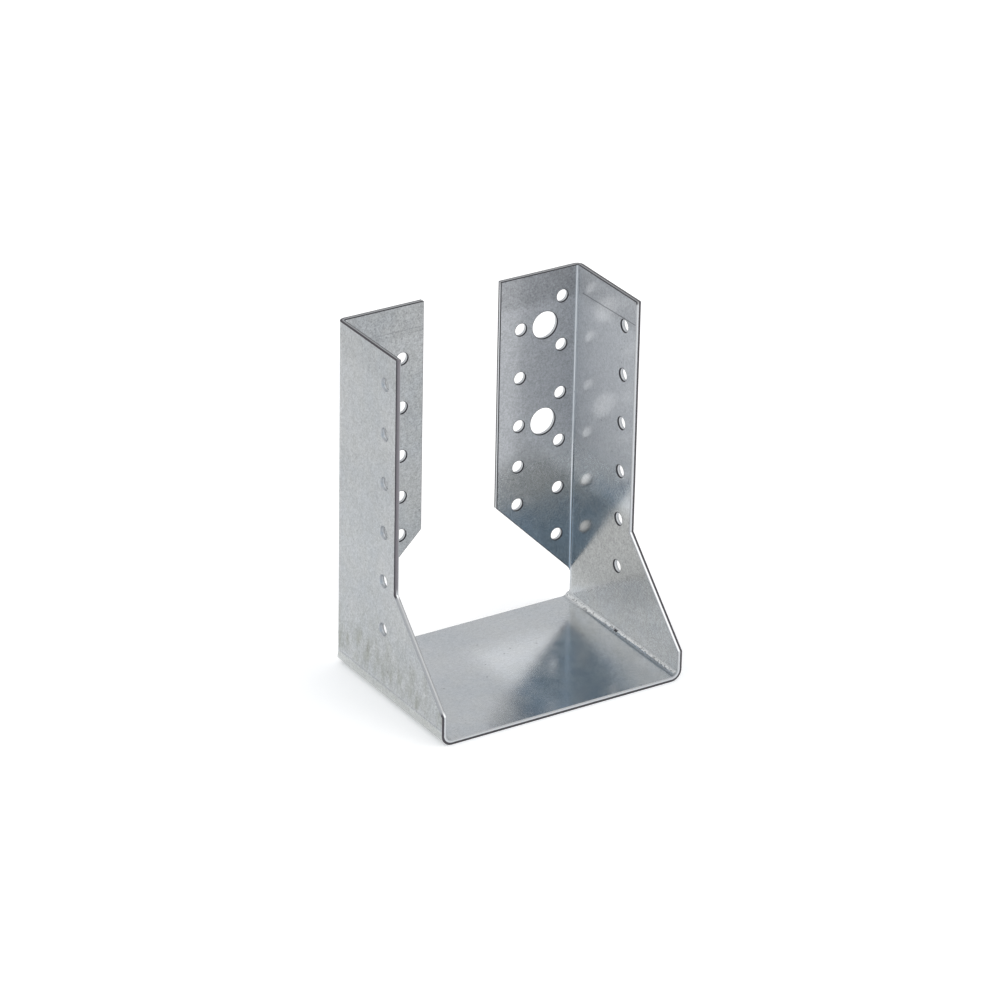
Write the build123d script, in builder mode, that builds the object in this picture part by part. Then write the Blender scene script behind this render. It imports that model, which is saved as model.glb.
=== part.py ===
from build123d import *
import os
from math import acos, cos, degrees, radians, sin, tan

# Joist hanger with inward header flanges, folded from one sheet of galvanised steel.
# Sizes are in millimetres. Z is up, the joist comes in from the front at -Y and the header is at +Y.
# The origin is under the middle of the hanger, on the plane that its seat rests on.

# Sheet and bends
sheet = 2.0
seat_bend_inner = 2.5
flange_bend_inner = 0.5

# Joist pocket
joist_width = 100.0
joist_clearance = 1.5
plate_height = 140.0

# Seat and side plates. Depths are measured from the header face, heights from the base.
seat_depth = 77.0
plate_depth = 42.0
toe_height = 12.0
knee_height = 47.0

# Relief behind the seat and the plates' lower ends, which keeps their cut edges off the header
seat_setback = 0.5
plate_setback = 2.0
relief_radius = 4.0

# Flanges. The slanted lower edge meets the bend at root_height and rises from there to the free edge.
flange_width = 36.0
root_height = 14.5
slant_angle = 45.0
ramp_sections = 5

# Holes. Insets are measured from the outer side face, drops from the top edge.
nail_hole = 5.0
bolt_hole = 11.0
nail_pitch = 20.0
bolt_pitch = 40.0
fold_nail_inset = 8.6
fold_nail_drop = 11.4
edge_nail_inset = 26.8
edge_nail_drop = 21.4
tip_nail_drop = 0.4
tip_nail_pitch = 16.0
bolt_inset = 16.1
bolt_drop = 21.8
plate_nail_depth = 34.3
plate_nail_drop = 12.6

# Least heights of the lowest holes over the edge or the bend below them
fold_nail_room = 8.0
bolt_room = 20.0
plate_nail_room = 20.0

# Main places that follow from the sizes
half_width = (joist_width + joist_clearance) / 2 + sheet
height = plate_height + sheet
header_y = seat_depth / 2
front_y = header_y - seat_depth
plate_front_y = header_y - plate_depth
plate_back_y = header_y - plate_setback
seat_back_y = header_y - seat_setback
seat_bend_outer = seat_bend_inner + sheet
seat_bend_middle = seat_bend_inner + sheet / 2
flange_bend_outer = flange_bend_inner + sheet
flange_bend_middle = flange_bend_inner + sheet / 2
bend_x = half_width - flange_bend_outer
bend_y = header_y - flange_bend_outer
flange_edge_x = half_width - flange_width

# The slanted edge: its slope, its fall round the bend and its height at the free edge
slope = tan(radians(slant_angle))
bend_fall = flange_bend_middle * radians(90) * slope
ramp_foot = root_height - bend_fall
tip_height = root_height + (bend_x - flange_edge_x) * slope


def slant_height(inset):
    """Height of the slanted edge at a distance from the outer side face."""
    return root_height + (inset - flange_bend_outer) * slope


def column_count(top, bottom, pitch):
    """How many holes fit from top down to bottom."""
    return 1 + int((top - bottom) / pitch)


# Hole columns, each from its highest hole down
fold_nail_top = height - fold_nail_drop
fold_nails = column_count(fold_nail_top, slant_height(fold_nail_inset) + fold_nail_room, nail_pitch)
tip_nail_low = tip_height - tip_nail_drop
tip_nail_high = tip_nail_low + tip_nail_pitch
edge_nail_top = height - edge_nail_drop
edge_nails = column_count(edge_nail_top, tip_nail_high + tip_nail_pitch, nail_pitch)
bolt_top = height - bolt_drop
bolts = column_count(bolt_top, slant_height(bolt_inset) + bolt_room, bolt_pitch)
plate_nail_top = height - plate_nail_drop
plate_nails = column_count(plate_nail_top, seat_bend_outer + plate_nail_room, nail_pitch)

# Right-hand bend and flange, which the left-hand ones mirror
with BuildPart() as flange:
    # The bend is a quarter ring seen from above.
    with BuildSketch(Plane.XY.offset(ramp_foot)):
        with Locations((bend_x, bend_y)):
            Circle(flange_bend_outer)
            Circle(flange_bend_inner, mode=Mode.SUBTRACT)
            Rectangle(
                flange_bend_outer, flange_bend_outer, align=(Align.MIN, Align.MIN), mode=Mode.INTERSECT
            )
    extrude(amount=height - ramp_foot)

    # The slanted cut was straight in the flat blank, so round the bend it falls like a spiral ramp.
    for section in range(ramp_sections):
        share = section / (ramp_sections - 1)
        turn = radians(90) * share
        outward = (sin(turn), cos(turn), 0)
        onward = (cos(turn), -sin(turn), 0)
        with BuildSketch(Plane(origin=(bend_x, bend_y, 0), x_dir=outward, z_dir=onward)):
            with Locations((flange_bend_middle, root_height - bend_fall * share)):
                Rectangle(flange_bend_outer, 2 * bend_fall, align=(Align.CENTER, Align.MAX))
    loft(mode=Mode.SUBTRACT)

    # The flat of the flange, drawn from the front
    with BuildSketch(Plane.XZ.offset(-header_y)):
        with BuildLine():
            Polyline(
                (bend_x, height),
                (flange_edge_x, height),
                (flange_edge_x, tip_height),
                (bend_x, root_height),
                close=True,
            )
        make_face()
    extrude(amount=sheet)

    # Nail columns beside the bend and beside the free edge, with bolt holes between them
    with Locations(Plane.XZ.offset(sheet - header_y)):
        with Locations((half_width - fold_nail_inset, fold_nail_top - nail_pitch * (fold_nails - 1) / 2)):
            with GridLocations(nail_pitch, nail_pitch, 1, fold_nails):
                Hole(nail_hole / 2)
        with Locations((half_width - edge_nail_inset, edge_nail_top - nail_pitch * (edge_nails - 1) / 2)):
            with GridLocations(nail_pitch, nail_pitch, 1, edge_nails):
                Hole(nail_hole / 2)
        with Locations(
            (half_width - edge_nail_inset, tip_nail_low), (half_width - edge_nail_inset, tip_nail_high)
        ):
            Hole(nail_hole / 2)
        with Locations((half_width - bolt_inset, bolt_top - bolt_pitch * (bolts - 1) / 2)):
            with GridLocations(bolt_pitch, bolt_pitch, 1, bolts):
                Hole(bolt_hole / 2)

with BuildPart() as hanger:
    # Seat and side plates are one channel, drawn from the front by the middle of its sheet.
    with BuildSketch(Plane.XZ.offset(-seat_back_y)):
        with BuildLine():
            FilletPolyline(
                (-half_width + sheet / 2, height),
                (-half_width + sheet / 2, sheet / 2),
                (half_width - sheet / 2, sheet / 2),
                (half_width - sheet / 2, height),
                radius=seat_bend_middle,
            )
        trace(line_width=sheet)
    extrude(amount=seat_back_y - front_y)

    # Outline from the side: toe and knee in front, and behind it the bend's edge, the relief and the seat.
    relief_step = seat_back_y - plate_back_y
    relief_turn = degrees(acos((relief_radius - relief_step) / relief_radius))
    tab_turn = acos((flange_bend_outer - plate_setback) / flange_bend_outer)
    tab_height = root_height - tab_turn * flange_bend_middle * slope
    with BuildSketch(Plane.YZ):
        with BuildLine():
            relief = CenterArc(
                (plate_back_y + relief_radius, sheet + relief_radius), relief_radius, 180, relief_turn
            )
            Polyline(
                relief @ 1,
                (seat_back_y, 0),
                (front_y, 0),
                (front_y, toe_height),
                (plate_front_y, knee_height),
                (plate_front_y, height),
                (bend_y, height),
                (bend_y, root_height),
                (plate_back_y, tab_height),
                relief @ 0,
            )
        make_face()
    extrude(amount=half_width, both=True, mode=Mode.INTERSECT)

    # Bends and flanges, right and left
    add(flange.part)
    add(mirror(flange.part, about=Plane.YZ, mode=Mode.PRIVATE))

    # Nail column in each side plate, drilled across both
    with Locations(Plane.YZ.offset(half_width)):
        with Locations((header_y - plate_nail_depth, plate_nail_top - nail_pitch * (plate_nails - 1) / 2)):
            with GridLocations(nail_pitch, nail_pitch, 1, plate_nails):
                Hole(nail_hole / 2)

hanger.part.label = "hanger"
os.makedirs("parts", exist_ok=True)
export_step(hanger.part, "parts/hanger.step")
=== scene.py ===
"""Looks of a joist hanger: one galvanised sheet, blanked, punched and folded, on a pale floor.

The sheet is made flat first, as the real one is. Its outline is traced in the blank, a Geometry Nodes tree
punches the holes' rims into it and folds it, and its finish follows the blank round every fold.
Blank coordinates run across the channel (u), towards the header and on along the flange (v), and from the
inner to the outer face (n).
"""

import functools
import logging
import math
from dataclasses import dataclass
from enum import Enum
from typing import ClassVar

import bpy
import numpy as np
from mathutils import Matrix, Vector
from mathutils.geometry import delaunay_2d_cdt


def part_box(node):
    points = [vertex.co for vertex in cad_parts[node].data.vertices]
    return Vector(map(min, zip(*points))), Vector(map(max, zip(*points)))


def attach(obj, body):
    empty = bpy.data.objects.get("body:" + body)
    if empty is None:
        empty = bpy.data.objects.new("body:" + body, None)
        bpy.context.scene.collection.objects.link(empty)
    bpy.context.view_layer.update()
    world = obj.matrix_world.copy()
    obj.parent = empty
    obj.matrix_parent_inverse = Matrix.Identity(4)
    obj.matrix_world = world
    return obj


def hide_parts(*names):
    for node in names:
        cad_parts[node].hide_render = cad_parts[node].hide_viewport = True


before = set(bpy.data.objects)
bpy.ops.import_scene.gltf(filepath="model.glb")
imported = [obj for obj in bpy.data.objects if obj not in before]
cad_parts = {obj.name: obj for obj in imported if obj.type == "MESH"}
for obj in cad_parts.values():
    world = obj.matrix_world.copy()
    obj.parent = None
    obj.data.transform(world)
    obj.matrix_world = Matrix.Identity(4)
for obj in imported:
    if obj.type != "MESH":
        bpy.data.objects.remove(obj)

Pair = tuple[float, float]
Triple = tuple[float, float, float]
Colour = Triple
Socket = bpy.types.NodeSocket

LOG = logging.getLogger("joist_hanger")
NODE = "hanger"
BODY = "root"
SLOT = "galvanised_steel"
MM = 0.001


class Side(Enum):
    """The two halves of the hanger, with the sign of their u and X."""

    RIGHT = 1
    LEFT = -1


class Value:
    """A number in a node tree. Arithmetic on it adds the maths nodes."""

    def __init__(self, tree: bpy.types.NodeTree, socket: Socket) -> None:
        """Holds the output socket that gives the number, and the tree that it is in."""
        self.tree = tree
        self.socket = socket

    def feed(self, target: Socket) -> None:
        """Links this number to an input."""
        self.tree.links.new(self.socket, target)

    def maths(self, operation: str, *others: "Value | float") -> "Value":
        """Adds a maths node that starts from this number.

        Args:
            operation: The node's operation, such as ADD.
            others: The other numbers that the operation takes.

        Returns:
            The result.
        """
        node = self.tree.nodes.new("ShaderNodeMath")
        node.operation = operation
        self.feed(node.inputs[0])
        for place, other in enumerate(others, start=1):
            if isinstance(other, Value):
                other.feed(node.inputs[place])
            else:
                node.inputs[place].default_value = other
        return Value(self.tree, node.outputs["Value"])

    def __add__(self, other: "Value | float") -> "Value":
        """Sum."""
        return self.maths("ADD", other)

    def __sub__(self, other: "Value | float") -> "Value":
        """Difference."""
        return self.maths("SUBTRACT", other)

    def __rsub__(self, other: float) -> "Value":
        """Difference from a plain number."""
        return self.maths("MULTIPLY_ADD", -1.0, other)

    def __mul__(self, other: "Value | float") -> "Value":
        """Product."""
        return self.maths("MULTIPLY", other)

    def __truediv__(self, other: "Value | float") -> "Value":
        """Quotient."""
        return self.maths("DIVIDE", other)

    def __abs__(self) -> "Value":
        """The number without its sign."""
        return self.maths("ABSOLUTE")

    def least(self, other: "Value | float") -> "Value":
        """The smaller of the two."""
        return self.maths("MINIMUM", other)

    def most(self, other: "Value | float") -> "Value":
        """The larger of the two."""
        return self.maths("MAXIMUM", other)

    def blend(self, start: "Value", end: "Value") -> "Value":
        """From start, where this number is 0, to end, where it is 1."""
        return start + (end - start) * self

    def ramp(self, low: float, high: float, start: float = 0.0, end: float = 1.0) -> "Value":
        """Maps the range from low to high smoothly onto start to end, and holds it beyond.

        Args:
            low: The number at which the ramp begins.
            high: The number at which it ends, which may be the smaller of the two.
            start: What it gives at low and before it.
            end: What it gives at high and after it.

        Returns:
            The mapped number.
        """
        node = self.tree.nodes.new("ShaderNodeMapRange")
        node.interpolation_type = "SMOOTHSTEP"
        self.feed(node.inputs["Value"])
        for name, number in (("From Min", low), ("From Max", high), ("To Min", start), ("To Max", end)):
            node.inputs[name].default_value = number
        return Value(self.tree, node.outputs["Result"])


class NodeBuilder:
    """A node tree, with short ways to add nodes to it."""

    def __init__(self, tree: bpy.types.NodeTree) -> None:
        """Holds the tree."""
        self.tree = tree

    def plug(self, target: Socket, given: object) -> None:
        """Feeds an input.

        Args:
            target: The input.
            given: A socket or a Value to link to it, or a plain value. A colour gets its full alpha.
        """
        if isinstance(given, Value):
            given.feed(target)
        elif isinstance(given, Socket):
            self.tree.links.new(given, target)
        else:
            target.default_value = (*given, 1.0) if target.type == "RGBA" else given

    def node(self, kind: str, **given: object) -> bpy.types.Node:
        """Adds a node with its settings and what its inputs get.

        Args:
            kind: The node's type.
            given: A name in small letters is one of the node's settings. Any other is an input's, with
                underscores for spaces, and goes with a socket, a Value or a plain value.

        Returns:
            The node.
        """
        made = self.tree.nodes.new(kind)
        for name, value in given.items():
            if name.islower():
                setattr(made, name, value)
            else:
                self.plug(made.inputs[name.replace("_", " ")], value)
        return made

    def add(self, kind: str, **given: object) -> Socket:
        """Adds a node in the same way and gives its first output."""
        return self.node(kind, **given).outputs[0]

    def vector(self, operation: str, place: Socket, by: Triple) -> bpy.types.Node:
        """Adds a vector maths node with a fixed second vector.

        Args:
            operation: The node's operation, such as MULTIPLY.
            place: The first vector.
            by: The second one.

        Returns:
            The node.
        """
        node = self.node("ShaderNodeVectorMath", operation=operation, Vector=place)
        node.inputs[1].default_value = by
        return node

    def parts(self, place: Socket) -> list[Value]:
        """The three numbers of a vector."""
        outputs = self.node("ShaderNodeSeparateXYZ", Vector=place).outputs
        return [Value(self.tree, outputs[axis]) for axis in "XYZ"]

    def point(self, x: Value, y: Value, z: Value) -> Socket:
        """A vector from three numbers."""
        return self.add("ShaderNodeCombineXYZ", X=x, Y=y, Z=z)


@dataclass(frozen=True)
class CutEdge:
    """Section of a punched edge, from the inner face round to the outer one, in metres.

    The punch enters from the inner face, rolls its rim over, shears a smooth band and tears the rest, which
    leaves the outer face's rim a little further back. sheared is a share of the thickness, and lean_start is
    the share of the taper that the torn part starts with.
    """

    band: float = 0.28 * MM
    roll_width: float = 0.20 * MM
    roll_depth: float = 0.20 * MM
    sheared: float = 0.40
    lean_start: float = 0.1
    burr: float = 0.04 * MM
    roll_steps: int = 4

    def section(self, thickness: float, taper: float) -> list[Pair]:
        """Points of the section, each as how far out of the band's inner line it is and its n.

        Args:
            thickness: The sheet's thickness.
            taper: How far the torn part leans back by the outer face.

        Returns:
            The points, from the inner face to the outer one.
        """
        half = thickness / 2
        points = [(0.0, -half), (self.band - self.roll_width - self.burr, -half)]
        for step in range(self.roll_steps + 1):
            turn = math.radians(90) * step / self.roll_steps
            points.append((
                self.band - self.roll_width * (1 - math.sin(turn)),
                self.roll_depth * (1 - math.cos(turn)) - half,
            ))
        torn = thickness * self.sheared - half
        lip = self.band - taper
        points += [(self.band, torn - self.burr), (self.band - taper * self.lean_start, torn + self.burr)]
        points += [(lip, half - self.burr), (lip - self.burr, half), (lip - 2 * self.burr, half), (0.0, half)]
        return points


@dataclass
class Blank:
    """The flat sheet: its sizes, its outline and where its holes are, in metres."""

    half_width: float
    height: float
    header_y: float
    front_y: float
    thickness: float = 2.0 * MM
    seat_bend: float = 4.5 * MM
    flange_bend: float = 2.8 * MM
    plate_depth: float = 42.0 * MM
    toe_height: float = 12.0 * MM
    knee_height: float = 47.0 * MM
    seat_setback: float = 0.5 * MM
    plate_setback: float = 2.0 * MM
    relief_radius: float = 4.0 * MM
    flange_width: float = 36.0 * MM
    root_height: float = 14.8 * MM
    corner_radius: float = 0.30 * MM
    corner_steps: int = 3
    relief_steps: int = 10

    def __post_init__(self) -> None:
        """Works out the blank's own lengths."""
        self.bend_y = self.header_y - self.flange_bend
        self.seat_flat = self.half_width - self.seat_bend
        self.seat_arc = (self.seat_bend - self.thickness / 2) * math.radians(90)
        self.flange_arc = (self.flange_bend - self.thickness / 2) * math.radians(90)

    def rise(self, z: float) -> float:
        """The blank's u at a height on the side plates."""
        return self.seat_flat + self.seat_arc + z - self.seat_bend

    def reach(self, inset: float) -> float:
        """The blank's v on the flange, at a distance in from the outer side face."""
        return self.bend_y + self.flange_arc + inset - self.flange_bend

    def half_outline(self) -> list[Triple]:
        """The outline's corners on one half, from the front round to the back.

        Returns:
            Each corner as u, v and radius.
        """
        plate_front = self.header_y - self.plate_depth
        plate_back = self.header_y - self.plate_setback
        seat_back = self.header_y - self.seat_setback
        edge = self.reach(self.flange_width)
        root = self.reach(self.flange_bend)
        tip_height = self.root_height + edge - root
        tab_height = self.root_height + plate_back - root
        corners = [
            (self.rise(self.toe_height), self.front_y, self.corner_radius),
            (self.rise(self.knee_height), plate_front, self.corner_radius),
            (self.rise(self.height), plate_front, self.corner_radius),
            (self.rise(self.height), edge, self.corner_radius),
            (self.rise(tip_height), edge, self.corner_radius),
            (self.rise(tab_height), plate_back, self.corner_radius),
        ]
        relief_u = self.rise(self.thickness + self.relief_radius)
        relief_turn = math.acos(1 - (seat_back - plate_back) / self.relief_radius)
        for step in range(self.relief_steps + 1):
            turn = relief_turn * step / self.relief_steps
            corners.append((
                relief_u - self.relief_radius * math.sin(turn),
                plate_back + self.relief_radius * (1 - math.cos(turn)),
                0.0,
            ))
        return corners

    def outline(self) -> np.ndarray:
        """The whole outline, anticlockwise, with its corners rounded.

        Returns:
            One row of u and v for each point.
        """
        half = self.half_outline()
        corners = half + [(-u, v, radius) for u, v, radius in reversed(half)]
        points: list[np.ndarray] = []
        for place, (u, v, radius) in enumerate(corners):
            here = np.array((u, v))
            if radius == 0:
                points.append(here)
                continue
            before = np.array(corners[place - 1][:2]) - here
            after = np.array(corners[(place + 1) % len(corners)][:2]) - here
            before /= np.linalg.norm(before)
            after /= np.linalg.norm(after)
            half_angle = math.acos(np.clip(before @ after, -1, 1)) / 2
            middle = here + (before + after) / np.linalg.norm(before + after) * radius / math.sin(half_angle)
            start = here + before * radius / math.tan(half_angle) - middle
            end = here + after * radius / math.tan(half_angle) - middle
            for step in range(self.corner_steps + 1):
                share = step / self.corner_steps
                spoke = start * (1 - share) + end * share
                points.append(middle + spoke / np.linalg.norm(spoke) * radius)
        return np.array(points)


@dataclass
class HolePattern:
    """The nail and bolt holes of one side, as columns in the blank, in metres.

    A column is its distance from the outer side face, or the side plate's from the header face, the drop of
    its first hole under the top edge, and its count.
    """

    nail_radius: float = 2.5 * MM
    bolt_radius: float = 5.5 * MM
    nail_pitch: float = 20.0 * MM
    bolt_pitch: float = 40.0 * MM
    fold_nails: tuple[float, float, int] = (8.6 * MM, 11.4 * MM, 6)
    edge_nails: tuple[float, float, int] = (26.8 * MM, 21.4 * MM, 3)
    tip_nails: tuple[float, float, int] = (26.8 * MM, 78.4 * MM, 2)
    tip_pitch: float = 16.0 * MM
    bolts: tuple[float, float, int] = (16.1 * MM, 21.8 * MM, 2)
    plate_nails: tuple[float, float, int] = (34.3 * MM, 12.6 * MM, 6)

    def nails(self, blank: Blank) -> list[Pair]:
        """Places all nail holes.

        Args:
            blank: The sheet that they are punched in.

        Returns:
            Their centres, as u and v.
        """
        centres: list[Pair] = []
        for inset, drop, count in (self.fold_nails, self.edge_nails):
            centres += self.column(blank, blank.reach(inset), drop, count, self.nail_pitch)
        inset, drop, count = self.tip_nails
        centres += self.column(blank, blank.reach(inset), drop, count, self.tip_pitch)
        depth, drop, count = self.plate_nails
        centres += self.column(blank, blank.header_y - depth, drop, count, self.nail_pitch)
        return centres

    def bolt_centres(self, blank: Blank) -> list[Pair]:
        """Centres of all bolt holes in the blank, as u and v."""
        inset, drop, count = self.bolts
        return self.column(blank, blank.reach(inset), drop, count, self.bolt_pitch)

    @staticmethod
    def column(blank: Blank, v: float, drop: float, count: int, pitch: float) -> list[Pair]:
        """Centres of a column of holes on each side, as u and v, from the first down."""
        first = blank.rise(blank.height - drop)
        return [(side.value * (first - pitch * place), v) for side in Side for place in range(count)]


@dataclass
class FlatSheet:
    """The flat blank as a mesh: both faces with openings for the holes' rims, and the cut edge round it.

    Lengths are in metres, and row_pitch and least_gap are shares of the spacing.
    """

    blank: Blank
    holes: HolePattern
    edge: CutEdge
    edge_taper: float = 0.06 * MM
    nail_segments: int = 40
    bolt_segments: int = 72
    spacing: float = 4.0 * MM
    seat_bend_lines: int = 18
    flange_bend_lines: int = 14
    clearance: float = 0.9 * MM
    bend_foot: float = 10.0 * MM
    foot_spacing: float = 0.8 * MM
    foot_reach: float = 14.0 * MM
    row_pitch: float = 0.866
    least_gap: float = 0.45

    # Tolerances, in metres, and the last in millimetres
    PARALLEL = 1e-9
    AT_END = 1e-7
    ON_LINE = 1e-8
    SAME_POINT = 1e-6

    def bend_lines(self) -> list[tuple[int, float]]:
        """The lines across which the sheet bends.

        Returns:
            Each line's axis, 0 for u and 1 for v, and its place on it.
        """
        seat = self.across(self.blank.seat_flat, self.blank.seat_arc, self.seat_bend_lines)
        flange = self.across(self.blank.bend_y, self.blank.flange_arc, self.flange_bend_lines)
        return [(0, u) for u in seat] + [(0, -u) for u in seat] + [(1, v) for v in flange]

    @staticmethod
    def across(start: float, arc: float, count: int) -> list[float]:
        """Evenly spaced places from a bend's start to its end."""
        return [start + arc * k / count for k in range(count + 1)]

    def inner_loop(self) -> tuple[np.ndarray, np.ndarray]:
        """The outline's band line, with a point wherever a bend line or the spacing asks for one.

        Returns:
            The points, and for each the step from it to the outline for a band of one metre.
        """
        outline = self.blank.outline()
        ahead = np.roll(outline, -1, axis=0) - outline
        ahead /= np.linalg.norm(ahead, axis=1)[:, None]
        behind = np.roll(ahead, 1, axis=0)
        out_ahead = np.stack((ahead[:, 1], -ahead[:, 0]), axis=1)
        out_behind = np.stack((behind[:, 1], -behind[:, 0]), axis=1)
        mitre = (out_ahead + out_behind) / (1 + np.sum(out_ahead * out_behind, axis=1))[:, None]
        corner = outline - mitre * self.edge.band
        points: list[np.ndarray] = []
        steps: list[np.ndarray] = []
        for place, start in enumerate(corner):
            end = corner[(place + 1) % len(corner)]
            run = end - start
            count = math.ceil(np.linalg.norm(run) / self.spacing)
            shares = self.without_crowding({k / count for k in range(1, count)}, run, [
                (line - start[axis]) / run[axis] for axis, line in self.bend_lines()
                if abs(run[axis]) > self.PARALLEL and self.crosses(axis, start, end, line)
            ])
            points.append(start)
            steps.append(mitre[place])
            for share in sorted(shares):
                points.append(start + run * share)
                steps.append(out_ahead[place])
        return np.array(points), np.array(steps)

    def crosses(self, axis: int, start: np.ndarray, end: np.ndarray, line: float) -> bool:
        """Whether a stretch of the band line crosses a bend line where that bend is made.

        Args:
            axis: 0 for a line of fixed u, 1 for one of fixed v.
            start: The stretch's start.
            end: The stretch's end.
            line: Where the bend line is.

        Returns:
            True if it does.
        """
        low, high = sorted((start[axis], end[axis]))
        if not low + self.AT_END < line < high - self.AT_END:
            return False
        return axis == 0 or min(abs(start[0]), abs(end[0])) > self.blank.rise(self.bend_foot)

    def without_crowding(self, shares: set[float], run: np.ndarray, kept: list[float]) -> set[float]:
        """Drops the evenly spaced points that would crowd the ones on bend lines.

        Args:
            shares: Evenly spaced places along a stretch, from 0 to 1.
            run: The stretch.
            kept: The places on bend lines, which all stay.

        Returns:
            The places that stay.
        """
        length = np.linalg.norm(run)
        spare = {s for s in shares if all(abs(s - k) * length > self.clearance for k in kept)}
        return spare | set(kept)

    def hole_loops(self) -> list[tuple[np.ndarray, float, int]]:
        """Lists the holes.

        Returns:
            Each hole's centre, radius and how many segments its rim has.
        """
        kinds = (
            (self.holes.nails(self.blank), self.holes.nail_radius, self.nail_segments),
            (self.holes.bolt_centres(self.blank), self.holes.bolt_radius, self.bolt_segments),
        )
        return [(np.array(centre), radius, count) for centres, radius, count in kinds for centre in centres]

    def mesh(self) -> bpy.types.Mesh:
        """Builds both faces and the outline's cut edge.

        Returns:
            A flat mesh, open at the holes, whose X, Y and Z are u, v and n.
        """
        loop, steps = self.inner_loop()
        rings = [loop]
        for centre, radius, count in self.hole_loops():
            turns = math.tau * np.arange(count) / count
            spokes = np.stack((np.cos(turns), np.sin(turns)), axis=1)
            rings.append(centre + (radius + self.edge.band) * spokes)
        fixed, edges = self.constraints(rings)
        spread = self.interior(rings, fixed)
        flat = np.concatenate((fixed, spread))
        triangles = self.triangulate(flat, edges, rings[1:])
        half = self.blank.thickness / 2
        count = len(flat)
        inner = np.column_stack((flat, np.full(count, -half)))
        outer = np.column_stack((flat, np.full(count, half)))
        section = self.edge.section(self.blank.thickness, self.edge_taper)
        rows = [np.arange(len(loop))]
        points = [inner, outer]
        total = 2 * count
        for out, n in section[1:-1]:
            points.append(np.column_stack((loop + steps * out, np.full(len(loop), n))))
            rows.append(total + np.arange(len(loop)))
            total += len(loop)
        rows.append(count + np.arange(len(loop)))
        faces = triangles[:, ::-1].tolist() + (triangles + count).tolist()
        for below, above in zip(rows[:-1], rows[1:]):
            ahead = np.roll(below, -1), np.roll(above, -1)
            faces += np.stack((below, ahead[0], ahead[1], above), axis=1).tolist()
        mesh = bpy.data.meshes.new("flat_blank")
        mesh.from_pydata(np.concatenate(points).tolist(), [], faces)
        mesh.update()
        on_edge = mesh.attributes.new(FoldingTree.EDGE_ATTRIBUTE, "FLOAT", "POINT")
        on_edge.data.foreach_set("value", (np.arange(total) >= 2 * count).astype(float))
        return mesh

    def constraints(self, rings: list[np.ndarray]) -> tuple[np.ndarray, list[tuple[int, int]]]:
        """Points and edges that the faces' triangles keep: the rings and the bend lines.

        Args:
            rings: The band line of the outline, and of each hole.

        Returns:
            The points and the edges between them.
        """
        points = [point for ring in rings for point in ring]
        edges: list[tuple[int, int]] = []
        start = 0
        for ring in rings:
            edges += [(start + k, start + (k + 1) % len(ring)) for k in range(len(ring))]
            start += len(ring)
        loop = rings[0]
        for axis, line in self.bend_lines():
            for low, high in self.spans(loop, axis, line):
                chain = [] if low is None else [low]
                foot = math.copysign(self.blank.rise(self.bend_foot), loop[high][0])
                first = foot if low is None else loop[low][1 - axis]
                for along in self.stations(first, loop[high][1 - axis], axis, low is None):
                    chain.append(len(points))
                    points.append(np.array((line, along) if axis == 0 else (along, line)))
                chain.append(high)
                edges += list(zip(chain[:-1], chain[1:]))
        return np.array(points), edges

    def spans(self, loop: np.ndarray, axis: int, line: float) -> list[tuple[int | None, int]]:
        """The stretches of a bend line that lie in the sheet.

        Args:
            loop: The outline's band line.
            axis: 0 for a line of fixed u, 1 for one of fixed v.
            line: Where the bend line is.

        Returns:
            For each stretch the points of the band line at its foot and its head. A flange's line that ends
            in the side plate has no foot there.
        """
        on_line = [k for k in range(len(loop)) if abs(loop[k][axis] - line) < self.ON_LINE]
        on_line.sort(key=lambda k: abs(loop[k][1 - axis]) if axis == 1 else loop[k][1])
        if axis == 0:
            return [(on_line[0], on_line[-1])]
        found: list[tuple[int | None, int]] = []
        for side in Side:
            half = [k for k in on_line if loop[k][0] * side.value > self.blank.rise(self.bend_foot)]
            found.append((half[0] if len(half) > 1 else None, half[-1]))
        return found

    def stations(self, first: float, last: float, axis: int, with_first: bool) -> list[float]:
        """Places along a bend line, closer together by a flange bend's foot.

        Args:
            first: Where the line starts.
            last: Where it ends.
            axis: 0 for a line of fixed u, 1 for one of fixed v.
            with_first: Whether the start needs a point of its own.

        Returns:
            The places, without the line's end.
        """
        length = abs(last - first)
        sign = math.copysign(1.0, last - first)
        steps = [0.0] if with_first else []
        near = self.foot_reach if axis == 1 else 0.0
        steps += [self.foot_spacing * k for k in range(1, int(near / self.foot_spacing))]
        rest = max(1, math.ceil((length - near) / self.spacing))
        steps += [near + (length - near) * k / rest for k in range(0 if near else 1, rest)]
        return [first + sign * step for step in steps]

    def interior(self, rings: list[np.ndarray], fixed: np.ndarray) -> np.ndarray:
        """Evenly spread points inside the sheet, clear of the rings and the bend lines.

        Args:
            rings: The band line of the outline, and of each hole.
            fixed: The points that are there already.

        Returns:
            The added points.
        """
        low, high = rings[0].min(axis=0), rings[0].max(axis=0)
        columns = np.arange(low[0], high[0], self.spacing)
        rows = np.arange(low[1], high[1], self.spacing * self.row_pitch)
        grid = np.array([(u + (k % 2) * self.spacing / 2, v) for k, v in enumerate(rows) for u in columns])
        grid = grid[self.inside(grid, rings)]
        there = np.concatenate([fixed] + [(ring + np.roll(ring, -1, axis=0)) / 2 for ring in rings])
        gap = np.array([np.min(np.sum((there - point) ** 2, axis=1)) for point in grid])
        off_seat = np.abs(grid[:, 0]) - self.blank.seat_flat
        past = grid[:, 1] - self.blank.bend_y
        bent = (off_seat > 0) & (off_seat < self.blank.seat_arc) | (past > 0) & (past < self.blank.flange_arc)
        return grid[(gap > (self.spacing * self.least_gap) ** 2) & ~bent]

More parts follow.
